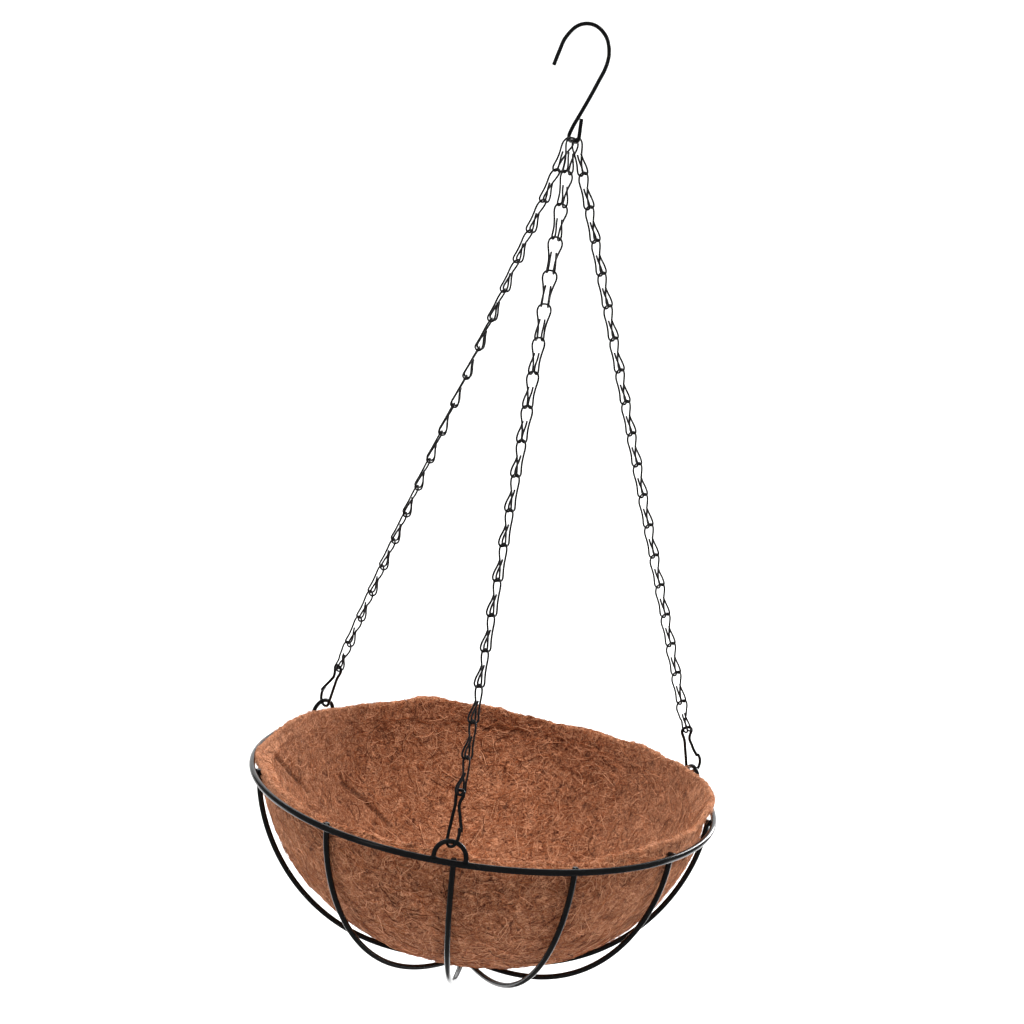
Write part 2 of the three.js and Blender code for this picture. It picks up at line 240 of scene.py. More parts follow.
# ---- materials ----
class Nodes:
    """A short way to write a node tree."""

    def __init__(self, name):
        self.material = bpy.data.materials.new(name)
        self.material.use_nodes = True
        self.tree = self.material.node_tree
        self.shader = self.tree.nodes["Principled BSDF"]
        coords = self.tree.nodes.new("ShaderNodeTexCoord")
        self.at = coords.outputs["Object"]

    def add(self, kind, inputs=None, **settings):
        node = self.tree.nodes.new(kind)
        for key, value in settings.items():
            setattr(node, key, value)
        for key, value in (inputs or {}).items():
            if isinstance(value, bpy.types.NodeSocket):
                self.tree.links.new(value, node.inputs[key])
            else:
                node.inputs[key].default_value = value
        return node

    def noise(self, scale, detail=2.0, roughness=0.5, distortion=0.0, vector=None):
        inputs = {"Vector": vector or self.at, "Scale": scale, "Detail": detail}
        inputs |= {"Roughness": roughness, "Distortion": distortion}
        return self.add("ShaderNodeTexNoise", inputs).outputs["Fac"]

    def span(self, value, low, high, to_low=0.0, to_high=1.0):
        """value stretched from low..high to to_low..to_high, and held at its ends."""
        inputs = {"Value": value, "From Min": low, "From Max": high, "To Min": to_low, "To Max": to_high}
        return self.add("ShaderNodeMapRange", inputs).outputs["Result"]

    def mix(self, factor, a, b, blend="MIX"):
        node = self.add("ShaderNodeMix", data_type="RGBA", blend_type=blend)
        for key, value in ((0, factor), (6, a), (7, b)):
            if isinstance(value, bpy.types.NodeSocket):
                self.tree.links.new(value, node.inputs[key])
            elif key == 0:
                node.inputs[key].default_value = value
            else:
                node.inputs[key].default_value = (*value, 1)
        return node.outputs[2]

    def math(self, operation, a, b=0.0):
        return self.add("ShaderNodeMath", {0: a, 1: b}, operation=operation).outputs[0]

    def bump(self, height, strength, distance, normal=None):
        inputs = {"Height": height, "Strength": strength, "Distance": distance}
        if normal is not None:
            inputs["Normal"] = normal
        return self.add("ShaderNodeBump", inputs).outputs["Normal"]

    def drive(self, **sockets):
        """Link node outputs to the shader. Returns the finished material."""
        names = {"colour": "Base Color", "roughness": "Roughness", "normal": "Normal", "metallic": "Metallic"}
        for key, value in sockets.items():
            self.tree.links.new(value, self.shader.inputs[names[key]])
        return self.material

    def constant(self, **values):
        """Set plain values on the shader's own sockets."""
        for key, value in values.items():
            self.shader.inputs[key.replace("_", " ")].default_value = value


def coated_wire():
    """Glossy black coating on steel wire: a faint orange peel, dull dusty patches and hairline rubs."""
    m = Nodes("black_coated_wire")
    m.constant(Metallic=0.0, IOR=1.42, Specular_IOR_Level=0.4)
    patch = m.noise(60, 3, 0.6)
    rub = m.noise(420, 4, 0.7, 0.6)
    peel = m.noise(1400, 2, 0.5)
    dust = m.span(m.noise(190, 5, 0.65), 0.56, 0.74)
    colour = m.mix(m.span(patch, 0.35, 0.7), (0.0012, 0.0012, 0.0015), (0.0035, 0.0033, 0.0033))
    colour = m.mix(m.math("MULTIPLY", dust, 0.1), colour, (0.03, 0.028, 0.026))
    roughness = m.math("ADD", m.span(rub, 0.3, 0.75, 0.12, 0.22), m.math("MULTIPLY", dust, 0.15))
    normal = m.bump(peel, 0.12, 0.0001, m.bump(patch, 0.1, 0.0004))
    return m.drive(colour=colour, roughness=roughness, normal=normal)


def chain_wire():
    """Thin black-finished chain wire: satin, a little worn to grey metal in small rubbed spots."""
    m = Nodes("black_chain_wire")
    m.constant(IOR=1.35, Specular_IOR_Level=0.2)
    worn = m.span(m.noise(330, 4, 0.7), 0.6, 0.72)
    streak = m.noise(900, 3, 0.6)
    colour = m.mix(m.span(streak, 0.3, 0.7), (0.005, 0.005, 0.006), (0.014, 0.013, 0.013))
    colour = m.mix(m.math("MULTIPLY", worn, 0.4), colour, (0.09, 0.082, 0.078))
    metallic = m.span(worn, 0.0, 1.0, 0.0, 0.6)
    roughness = m.span(streak, 0.3, 0.7, 0.3, 0.5)
    return m.drive(colour=colour, roughness=roughness, metallic=metallic, normal=m.bump(streak, 0.15, 0.0001))


FIBRE_WANDER = 0.022  # metres that the fibre lines are pulled sideways by noise
PAINTED_SHEEN = (0.62, 0.315, 0.185)  # colour of the painted sheen that pales the coir towards the two sides


def fibre_lines(m, scale, turn, stretch, seed):
    """Thin curly lines at one heading: noise stretched along a turned axis, folded into ridges."""
    wander = m.add("ShaderNodeTexNoise", {"Vector": m.at, "Scale": 55.0 + 7 * seed, "Detail": 2.0})
    by = (FIBRE_WANDER, FIBRE_WANDER, FIBRE_WANDER)
    shifted = m.add("ShaderNodeVectorMath", {0: wander.outputs["Color"], 1: by}, operation="MULTIPLY")
    moved = m.add("ShaderNodeVectorMath", {0: m.at, 1: shifted.outputs[0]}, operation="ADD")
    mapping = m.add(
        "ShaderNodeMapping",
        {
            "Vector": moved.outputs[0],
            "Location": (seed * 1.7, seed * 0.9, seed * 2.3),
            "Rotation": turn,
            "Scale": (1.0, 1.0, stretch),
        },
        vector_type="TEXTURE",
    )
    value = m.noise(scale, 1.0, 0.4, 0.0, mapping.outputs[0])
    ridge = m.math("ABSOLUTE", m.math("SUBTRACT", value, 0.5))
    return m.span(ridge, 0.008, 0.034, 1.0, 0.0)


def coir_mat():
    """The felted body of the liner: curly brown fibres, painted shade in its hollows, pits and folds, pale
    specks, and a paler painted sheen towards the sides.
    """
    m = Nodes("coir_mat")
    m.constant(Metallic=0.0, IOR=1.45, Specular_IOR_Level=0.05, Sheen_Weight=0.02, Sheen_Roughness=0.6)
    lines = [
        fibre_lines(m, 520.0, (0.3, 1.2, 0.2), 8.0, 1),
        fibre_lines(m, 600.0, (1.4, 0.4, 1.1), 7.0, 2),
        fibre_lines(m, 470.0, (0.8, 2.2, 2.0), 9.0, 3),
        fibre_lines(m, 680.0, (2.1, 1.0, 0.5), 6.0, 4),
    ]
    top = lines[0]
    for line in lines[1:]:
        top = m.math("MAXIMUM", top, line)
    patch = m.noise(26, 4, 0.6)
    mottle = m.noise(150, 4, 0.65)
    hollow = m.span(m.noise(360, 5, 0.72, 0.8), 0.40, 0.56)
    pit = m.span(m.noise(230, 4, 0.7, 1.2), 0.445, 0.38)

    # the body: with painted shade where it is hollow
    base = m.mix(m.span(patch, 0.36, 0.66), (0.195, 0.053, 0.020), (0.315, 0.101, 0.042))
    base = m.mix(m.span(mottle, 0.35, 0.68, 0.0, 0.6), base, (0.41, 0.146, 0.064))
    dark = m.mix(1.0, base, (0.38, 0.25, 0.20), "MULTIPLY")
    body = m.mix(hollow, dark, base)

    # painted shade in the pits, fibres on top, and painted shade in the pressed folds
    light = m.mix(m.span(mottle, 0.3, 0.7), (0.47, 0.180, 0.084), (0.74, 0.355, 0.198))
    # painted shade: the pits are painted near black
    colour = m.mix(m.math("MULTIPLY", pit, 0.8), body, (0.050, 0.010, 0.005))
    colour = m.mix(m.math("MULTIPLY", top, m.span(pit, 0.0, 1.0, 0.8, 0.25)), colour, light)
    # painted shade along the pressed folds, as deep as the fold attribute says
    fold = m.add("ShaderNodeAttribute", attribute_name="fold").outputs["Fac"]
    folded = m.math("MULTIPLY", fold, m.span(mottle, 0.3, 0.6, 0.55, 0.95))
    colour = m.mix(folded, colour, (0.055, 0.014, 0.007))

    # a painted sheen, paler towards the two sides, and a few pale specks
    along = m.add("ShaderNodeSeparateXYZ", {0: m.at}).outputs["X"]
    sides = m.math("ADD", m.math("ABSOLUTE", along), m.span(patch, 0.3, 0.7, -0.02, 0.02))
    colour = m.mix(m.span(sides, 0.07, 0.15, 0.0, 0.30), colour, PAINTED_SHEEN)
    speck = m.span(m.noise(520, 2, 0.5), 0.765, 0.80)
    specks = m.math("MULTIPLY", speck, m.span(m.noise(28, 2, 0.5), 0.55, 0.62))
    colour = m.mix(specks, colour, (0.78, 0.62, 0.55))

    height = m.math("ADD", m.math("MULTIPLY", top, 0.6), m.math("MULTIPLY", hollow, 0.7))
    height = m.math("SUBTRACT", height, pit)
    normal = m.bump(height, 0.8, 0.0011, m.bump(mottle, 0.4, 0.0015))
    return m.drive(colour=colour, roughness=m.span(top, 0, 1, 0.95, 0.78), normal=normal)


def coir_strand():
    """Single coconut fibres: each has its own tone, slightly darker or paler along it."""
    m = Nodes("coir_strand")
    m.constant(Metallic=0.0, IOR=1.45, Specular_IOR_Level=0.1)
    tone = m.add("ShaderNodeAttribute", attribute_name="tone").outputs["Color"]
    mottle = m.noise(260, 3, 0.6)
    shade = m.mix(m.span(mottle, 0.3, 0.7), (0.78, 0.75, 0.72), (1.1, 1.08, 1.05))
    colour = m.mix(1.0, tone, shade, "MULTIPLY")
    roughness = m.span(mottle, 0.3, 0.7, 0.6, 0.85)
    return m.drive(colour=colour, roughness=roughness, normal=m.bump(m.noise(1500, 2, 0.5), 0.3, 0.0002))


WIRE, CHAIN, MAT, STRAND = coated_wire(), chain_wire(), coir_mat(), coir_strand()

# ---- hook ----
BEND_Z = HOOK_WIRE / 2 - HOOK_CREST
tangent = turned(BEND_TURN)


def hook():
    at = lambda x, y, z: vec(x, y, BEND_Z + z)
    bend = lambda along, z: at(BEND_X, 0, z) + tangent * along
    side = BEND_FLAT + BEND_CORNER
    upper = [
        at(-17.2, 0, 43.7), at(-14.9, 0, 52.6), at(-12.5, 0, 60.4), at(-6.4, 0, 68.4), at(0, 0, HOOK_CREST),
        at(6.4, 0, 69.5), at(12.6, 0, 63.6), at(15.2, 0, 54.5), at(14.2, 0, 46.2), at(11.4, 0, 38.4),
        at(7.3, 1.2, 27.7), at(2.8, 3.6, 16.8), at(-0.5, 5.6, 9), bend(-side, BEND_CORNER),
    ]  # fmt: skip
    lower = []
    for centre, start in ((-BEND_FLAT, 180), (BEND_FLAT, 270)):
        for t in range(0, 91, 15):
            a = math.radians(start + t)
            lower.append(bend(centre + BEND_CORNER * math.cos(a), BEND_CORNER * (1 + math.sin(a))))
    lower.append(bend(side, 14.4))
    return spline(upper + lower[1:], HOOK_STEP)


build("hook_wire", tube(hook(), HOOK_WIRE, FINE_WIRE_SIDES), WIRE, "hook", ["hook"])


# ---- wire bowl: rim, ribs, bottom ring, hanger loops and their welds ----
def circle(radius, z, count):
    a = np.arange(count) * 2 * math.pi / count
    return np.stack([radius * np.cos(a), radius * np.sin(a), np.full(count, float(z))], 1)


def bowl_wire(name, shape, stands_for=(), flat_ends=True):
    build(name, shape, WIRE, "basket", stands_for, flat_ends)


rim = circle(RIM_RADIUS, RIM_Z, RIM_STEPS)
bowl_wire("rim_wire", tube(rim, RIM_WIRE, FINE_WIRE_SIDES, closed=True), ["rim_ring"])
bottom_ring = circle(BOTTOM_RING_RADIUS, RIM_Z - RIB_DEPTH, BOTTOM_RING_STEPS) + vec(BOWL_DRIFT, 0, 0)
bowl_wire("bottom_ring_wire", tube(bottom_ring, RIB_WIRE, closed=True), ["bottom_ring"])

WELD_RADIUS = RIM_RADIUS - (RIM_WIRE + RIB_WIRE) / 2 - GAP
RIB_RADII = (
    145.2, 144.2, 142.8, 140.5, 137.5, 133.5, 129, 123.5, 117, 109.5, 101, 92.5, 83, 73.5, 63, 51, 39, 26.5,
    BOTTOM_RING_RADIUS + RIB_WIRE / 2,
)  # fmt: skip


def rib_depth(r):
    """Depth of a rib below the rim plane at a radius."""
    return RIB_DEPTH * (1 - (r / WELD_RADIUS) ** RIB_POWER_R) ** (1 / RIB_POWER_Z)


def rib(azimuth):
    outward = outward_at(azimuth)
    at = lambda r, z: vec(-BOWL_DRIFT * z / RIB_DEPTH, 0, RIM_Z + z) + outward * r
    points = [at(WELD_RADIUS, RIB_STAND - 0.8), at(WELD_RADIUS, -1.5)]
    points += [at(r, -rib_depth(r)) for r in RIB_RADII]
    return spline(points, RIB_STEP)


welds = []
up = vec(0, 0, 1)
for i, azimuth in enumerate(RIB_AZIMUTHS, 1):
    name = f"rib_{i:02d}"
    bowl_wire(name + "_wire", tube(rib(azimuth), RIB_WIRE), [name])
    outward, along = outward_at(azimuth), turned(azimuth)
    contact = outward * (RIM_RADIUS - RIM_WIRE / 2 - 0.1) + up * RIM_Z
    welds.append(bead(contact, (along, outward, up), (2.3, 1.0, 2.2)))
    contact = outward * (BOTTOM_RING_RADIUS + RIB_WIRE / 2 - 0.1) + vec(BOWL_DRIFT, 0, RIM_Z - RIB_DEPTH)
    welds.append(bead(contact, (along, outward, up), (2.0, 1.1, 1.9)))

for side in SIDES:
    azimuth = CHAINS[side][0]
    outward, along = outward_at(azimuth), turned(azimuth)
    at = lambda x, z: vec(0, 0, RIM_Z + z) + outward * RIM_RADIUS + along * x
    foot = RIM_WIRE / 2
    points = [at(-LOOP_RADIUS, foot - 0.4)]
    for k in range(LOOP_STEPS + 1):
        a = math.pi * k / LOOP_STEPS
        points.append(at(-LOOP_RADIUS * math.cos(a), foot + GAP + LOOP_FOOT + LOOP_RADIUS * math.sin(a)))
    points.append(at(LOOP_RADIUS, foot - 0.4))
    bowl_wire(f"hanger_loop_{side}_wire", tube(points, LOOP_WIRE), [f"hanger_loop_{side}"])
    for x in (-LOOP_RADIUS, LOOP_RADIUS):
        welds.append(bead(at(x, foot + 0.05), (along, outward, up), (2.0, 1.7, 0.9)))
bowl_wire("weld_beads", merged(welds), flat_ends=False)


# ---- chain links ----
def turn_of(turns, number):
    """How far a numbered link is turned: as given, or in proportion between the given ones."""
    keys, values = zip(*turns)
    return float(np.interp(number, keys, values))


FOLD = 2.3  # radius of the folded legs
LINK_LEAN = math.atan2(FOLD + 0.12, LINK_PITCH - 0.15)


def link_outline(last):
    """Points of a link's wire: across the eye, towards the folded ends, and down from the eye's top."""
    waist, fold = (1.4, 2.6) if last else (2.05, FOLD)
    middle = LINK_PITCH - 0.65 - (fold - FOLD)
    half = [(waist - 0.5, 0.8, 9.6), (waist - 0.3, 1.9, 13.0), (waist - 0.1, 2 * fold - 0.7, 17.4)]
    for a in range(180, -1, -30):
        c, s = math.cos(math.radians(a)), math.sin(math.radians(a))
        half.append((waist, fold * (1 - c), middle + fold * s))
    half += [
        (waist, 0, 17.6), (waist + 0.05, 0, 15.2), (2.5, 0, 12.5), (3.3, 0, 9),
        (4.0, 0, 6.5), (4.3, 0, 4.4), (3.9, 0, 2.3), (2.6, 0, 0.75),
    ]  # fmt: skip
    return half + [(0, 0, 0.1)] + [(-w, n, s) for w, n, s in reversed(half)]


def link(origin, down, turn, last):
    """A bent link with its eye's top at origin, leaning so that its folded ends lie in line below it."""
    across = turned(turn + 180)
    across = unit(across - down * (across @ down))
    side = np.cross(across, down)
    c, s = math.cos(LINK_LEAN), math.sin(LINK_LEAN)
    link_down, link_side = down * c - side * s, side * c + down * s
    points = [origin + across * w + link_side * n + link_down * d for w, n, d in link_outline(last)]
    return tube(spline(points, LINK_STEP), LINK_WIRE, LINK_SIDES)


# ---- spring clips: eye, straight inner leg, round bottom and bulged outer side; the arm closes it ----
# Points of an outline are (outwards, down from the eye's top), and aside as a third where it isn't 0.
def clip_outline(length):
    return [
        (1.75, 5.6), (2.7, 4.2), (3.25, 2.9), (3.1, 1.4), (2.0, 0.35), (0, 0.1), (-2.0, 0.35), (-3.2, 1.4),
        (-3.45, 3.2), (-3.0, 6.2), (-2.8, 9), (-3.3, 14), (-3.9, 20), (-4.7, length - 5),
        (-4.75, length - 2.6), (-3.6, length - 0.9), (-1.6, length - 0.1), (0.6, length - 0.15),
        (2.8, length - 1.3), (4.6, length - 4.2), (5.25, length - 7.4), (5.0, length - 9.6),
        (4.45, length - 11.2),
    ]  # fmt: skip


def arm_outline(length):
    beside = CLIP_WIRE + GAP / 2  # the arm ends beside the clip's cut end
    return [
        (1.85, 5.3), (1.2, 7.0, 0.05), (0.8, 9, 0.1), (1.2, 11.6, 0.45), (1.95, 14.7, 1.1),
        (2.6, length - 14.5, 1.8), (3.3, length - 12.2, beside), (3.9, length - 10.4, beside),
        (4.25, length - 9.0, beside),
    ]  # fmt: skip


clip_lines = []  # each clip's line, from its loop up to its eye
for side in SIDES:
    azimuth, seat, clip_turn, turns = CHAINS[side]
    top = vec(BEND_X, 0, BEND_Z + (HOOK_WIRE + LINK_WIRE) / 2 + GAP) + tangent * seat * CHAIN_SPACING
    loop_top = RIM_WIRE / 2 + GAP + LOOP_FOOT + LOOP_RADIUS
    loop_point = up * (RIM_Z + loop_top) + outward_at(azimuth) * RIM_RADIUS
    reach = np.linalg.norm(loop_point - top)
    down = (loop_point - top) / reach
    for number in range(1, LINKS + 1):
        first = number - (number - 1) % 2
        node = f"chain_{side}_links_{first:02d}" + (f"_{first + 1:02d}" if first < LINKS else "")
        origin = top + down * (number - 1) * LINK_PITCH
        shape = link(origin, down, turn_of(turns, number), number == LINKS)
        build(f"chain_{side}_link_{number:02d}", shape, CHAIN, side + "_chain", [node])
    clip_top = top + down * ((LINKS - 1) * LINK_PITCH + LINK_TO_CLIP)
    clip_lines.append((loop_point, clip_top))
    out = turned(clip_turn)
    out = unit(out - down * (out @ down))
    length = reach - (LINKS - 1) * LINK_PITCH - LINK_TO_CLIP + (LOOP_WIRE + CLIP_WIRE) / 2 + 2 * GAP
    aside = np.cross(out, down)
    for name, body, outline in (
        (f"clip_{side}", side + "_chain", clip_outline(length)),
        (f"clip_arm_{side}", side + "_clip_arm", arm_outline(length)),
    ):
        points = [clip_top + out * u + down * s + aside * sum(m) for u, s, *m in outline]
        shape = tube(spline(points, CLIP_STEP), CLIP_WIRE, CLIP_SIDES)
        build(name + "_wire", shape, WIRE, body, [name])

# ---- coir liner ----
# By azimuth from the front: height of the torn edge above the rim plane, its lean outwards, and how far the
# wall below it is pushed out between the ribs.
EDGE_HEIGHTS = (
    (-90, 3.8), (-80, 3), (-68, 2.4), (-52, 1.6), (-39, 1.4), (-26, 2.8), (-12, 3.6), (-6, 6), (0, 2.4),
    (7, 0.6), (17, 3), (28, 1.6), (38, 6.8), (54, 8), (66, 9), (80, 14), (97, 16.5), (112, 16), (121, 13),
    (130, 12.5), (141, 9.6), (150, 10), (160, 8.8), (171, 9.8), (181, 12.2), (190, 12.2), (199, 14.6),
    (210, 10.4), (220, 10.2), (231, 11.4), (240, 11.8), (250, 10.4), (260, 7),
)  # fmt: skip
EDGE_LEANS = (
    (-90, 5.0), (-70, 2.5), (-50, 0.4), (0, 0.0), (50, 0.6), (70, 4.0), (87, 7.2), (99, 3.8),
    (106, -0.5), (118, -0.8), (145, 0), (180, -1), (200, 0.5), (230, 0), (252, 2.0),
)  # fmt: skip
WALL_BULGES = (
    (-98, 0.4), (-88, 2.6), (-76, 0.4), (-60, 0.8), (-30, 0.4), (10, 0.5), (40, 0.2), (70, 0.4),
    (84, 0), (98, 0.8), (112, 0), (180, 0.3),
)  # fmt: skip


def round_the_bowl(keys, azimuth):
    """Value at azimuth of one of the tables above: a smooth step from each entry to the next."""
    at, values = np.array([k for k, _ in keys], float), np.array([v for _, v in keys], float)
    at, values = np.concatenate([at - 360, at, at + 360]), np.tile(values, 3)
    i = np.clip(np.searchsorted(at, azimuth) - 1, 0, len(at) - 2)
    t = (azimuth - at[i]) / (at[i + 1] - at[i])
    t = t * t * (3 - 2 * t)
    return values[i] * (1 - t) + values[i + 1] * t


# Folds pressed into the inside of the left wall, each through (azimuth, height from the rim plane).
CREASES = (((-92, 0), (-102, -15), (-112, -38)), ((-129, -39), (-136, -50), (-145, -67)))
CREASE_WIDTH, CREASE_DEPTH = 1.2, 2.4


def crease_depth(p):
    """Depth of the folds at p: the distance to each fold is measured over the wall, and wavers a little."""
    around = np.degrees(np.arctan2(p[:, 0], -p[:, 1]))
    arc = math.pi / 180 * np.hypot(p[:, 0], p[:, 1])
    waver = noise(p / 7.0 + 51.7) * 2.2
    total = np.zeros(len(p))
    for fold in CREASES:
        near = np.full(len(p), np.inf)
        for (a0, z0), (a1, z1) in zip(fold, fold[1:]):
            x, y = (around - a0) * arc, p[:, 2] - RIM_Z - z0
            dx, dy = (a1 - a0) * arc, z1 - z0
            t = np.clip((x * dx + y * dy) / (dx * dx + dy * dy), 0, 1)
            near = np.minimum(near, np.hypot(x - t * dx, y - t * dy))
        near = near + waver * np.clip(near, 0, 1)
        total += CREASE_DEPTH * np.exp(-((near / CREASE_WIDTH) ** 2))
    return total


def relief(p, inside):
    """How far the mat stands out from its smooth bowl at p: soft waves, lumps, clumps, grain and creases."""
    shift = 37.0 if inside else 0.0
    big = noise(p / 62.0 + shift) * (3.4 if inside else 1.4)
    middle = noise(p / 21.0 + 9.1 + shift) * 0.8
    clump = noise(p / 8.0 + 3.3 + shift) * 0.45
    grain = noise(p / 3.0 + 5.7 + shift) * 0.55 + noise(p / 1.6 + 1.9 + shift) * 0.4
    line = noise(p / 46.0 + 21.3 + shift)
    here = np.clip(noise(p / 58.0 + 4.4 + shift) * 5 - 0.4, 0, 1)
    crease = np.exp(-((line / 0.035) ** 2)) * here * (2.0 if inside else 0.9)
    if inside:
        crease = crease + crease_depth(p)
    return big + middle + clump + grain - crease


def bowl(angle, radius, depth):
    """Points of a smooth bowl: angle 90 degrees at its bottom and 0 at the rim plane."""
    r = radius * np.cos(angle) ** (2 / LINER_POWER_R)
    z = -depth * np.sin(angle) ** (2 / LINER_POWER_Z)
    return r, z


EDGE_HALF = 2.1  # half of the mat's thickness at its felted top edge
EDGE_BODY = 0.8  # least height of the edge's straight part
EDGE_RAGS = ((5.0, 0.9, 4.2), (1.6, 1.1, 8.8))  # how it is torn: degrees, height, and a row of the noise
OUTER_TOP, INNER_TOP = 0.45, 0.55  # where v, across the skin, passes the rim plane outside and inside
RISE = 0.3  # share of the edge that is the straight part on each side
V_POWER = 1.15  # how v is spread down the wall
PRESS = 14  # millimetres over which a low edge and a bulge die out down the wall
OUTSIDE_LIFT = 1.6  # most that the outside may stand out, so that it keeps off the ribs
AROUND, ACROSS = 720, 240  # points of the mat's mesh


def profile(azimuth, v):
    """Radius and height of the skin at azimuth (degrees) and v, 0 at the bottom outside and 1 inside."""
    zero = np.zeros(len(v))
    height = round_the_bowl(EDGE_HEIGHTS, azimuth)
    for degrees, size, row in EDGE_RAGS:
        height = height + size * noise(np.stack([azimuth / degrees, zero + row, zero], 1))
    lean, bulge = round_the_bowl(EDGE_LEANS, azimuth), round_the_bowl(WALL_BULGES, azimuth)
    r, z = np.zeros(len(v)), np.zeros(len(v))
    outside, inside = v < OUTER_TOP, v > INNER_TOP
    edge = ~outside & ~inside
    angle = np.pi / 2 * (1 - np.clip(v / OUTER_TOP, 0, 1) ** V_POWER)
    r[outside], z[outside] = bowl(angle[outside], LINER_RADIUS, LINER_DEPTH)
    angle = np.pi / 2 * np.clip((v - INNER_TOP) / (1 - INNER_TOP), 0, 1) ** V_POWER
    inner_radius, inner_depth = LINER_RADIUS - LINER_THICKNESS, LINER_DEPTH - LINER_THICKNESS
    r[inside], z[inside] = bowl(angle[inside], inner_radius, inner_depth)
    # up the outer wall, round over the torn edge and down the inner wall
    t = np.clip((v - OUTER_TOP) / (INNER_TOP - OUTER_TOP), 0, 1)
    up_side, down_side = t < RISE, t > 1 - RISE
    turn = np.clip((t - RISE) / (1 - 2 * RISE), 0, 1) * np.pi
    rise = np.where(up_side, t / RISE, np.where(down_side, (1 - t) / RISE, 1.0))
    middle_r = LINER_RADIUS - LINER_THICKNESS / 2 + lean * rise
    body = np.maximum(height - EDGE_HALF, EDGE_BODY)
    half = LINER_THICKNESS / 2 * (1 - rise) + EDGE_HALF * rise
    edge_r = middle_r + half * np.where(up_side, 1, np.where(down_side, -1, np.cos(turn)))
    edge_z = body * rise + EDGE_HALF * np.sin(turn) * 0.95
    r, z = np.where(edge, edge_r, r), np.where(edge, edge_z, z)
    # where the edge is low the top of the wall is pressed down with it, and the wall bulges most near the rim
    near = np.exp(np.minimum(z, 0) / PRESS)
    return r + bulge * near, z + np.minimum(height - EDGE_HALF - EDGE_BODY, 0) * near


def skin(azimuth, v):
    """Points of the liner's finished skin, in millimetres, and the directions out of it."""
    a = np.radians(azimuth)
    r, z = profile(azimuth, v)
    step = 2e-3
    r1, z1 = profile(azimuth, np.clip(v - step, 0, 1))
    r2, z2 = profile(azimuth, np.clip(v + step, 0, 1))
    tr, tz = r2 - r1, z2 - z1
    size = np.maximum(np.hypot(tr, tz), 1e-9)
    nr, nz = tz / size, -tr / size  # outwards, away from the mat
    p = np.stack([r * np.sin(a) - BOWL_DRIFT * np.minimum(z, 0) / RIB_DEPTH, -r * np.cos(a), RIM_Z + z], 1)
    normal = np.stack([nr * np.sin(a), -nr * np.cos(a), nz], 1)
    share = np.clip((v - 0.42) / 0.16, 0, 1)  # of the inside's relief, growing over the edge
    lift = relief(p, False) * (1 - share) + relief(p, True) * share
    # beside the ribs' welded ends the mat is pressed flatter
    lift = lift * (1 - np.clip(1 - np.abs(v - 0.44) / 0.05, 0, 1) * 0.5)
    lift = np.where(v < 0.5, np.minimum(lift, OUTSIDE_LIFT), lift)
    return p + normal * lift[:, None], normal


def liner():
    """Vertices and faces of the whole mat, and how deep in a fold each vertex lies, from 0 to 1."""
    azimuth = np.arange(AROUND) * 360 / AROUND - 90
    v = np.linspace(0, 1, ACROSS + 1)[1:-1]
    grid_a, grid_v = np.meshgrid(azimuth, v, indexing="ij")
    p, _ = skin(grid_a.ravel(), grid_v.ravel())
    ends, _ = skin(np.zeros(2), np.array([0.0, 1.0]))
    ends[:, :2] = BOWL_DRIFT * LINER_DEPTH / RIB_DEPTH, 0
    rows = len(v)
    faces = []
    for i in range(AROUND):
        j = (i + 1) % AROUND
        for k in range(rows - 1):
            faces.append((i * rows + k, j * rows + k, j * rows + k + 1, i * rows + k + 1))
        faces.append((len(p), j * rows, i * rows))
        faces.append((len(p) + 1, i * rows + rows - 1, j * rows + rows - 1))
    p = np.vstack([p, ends])
    inside = np.append(grid_v.ravel() > 0.5, [False, False])
    return p, faces, np.where(inside, np.clip(crease_depth(p) / CREASE_DEPTH, 0, 1), 0)


points, faces, folds = liner()
mat = build("coir_liner_mat", (points, faces), MAT, "liner", ["liner"], flat_ends=False)
# the fold attribute holds how deep in a fold each vertex lies, for the painted shade in the folds
mat.data.attributes.new("fold", "FLOAT", "POINT").data.foreach_set("value", folds.astype(np.float32))


# ---- loose coir fibres, matted on the liner's skin and standing off its torn edge ----
STRAND_STEPS = 8  # points along a fibre
STRAND_LIFT = (0.15, 0.9)  # how far a fibre arches off the skin
SKIN_LENGTH = 340.0  # millimetres over the skin while v goes from 0 to 1
CLIP_ROOM, LINER_LIFT = 7.5, 8  # room that fibres leave round each clip's line; how far the liner lifts
FIBRE_TONES = np.array([
    (0.44, 0.158, 0.070), (0.30, 0.095, 0.039), (0.13, 0.034, 0.014),
    (0.70, 0.340, 0.195), (0.05, 0.012, 0.006),
])  # fmt: skip
FIBRE_SHARES = (0.30, 0.22, 0.15, 0.28, 0.05)


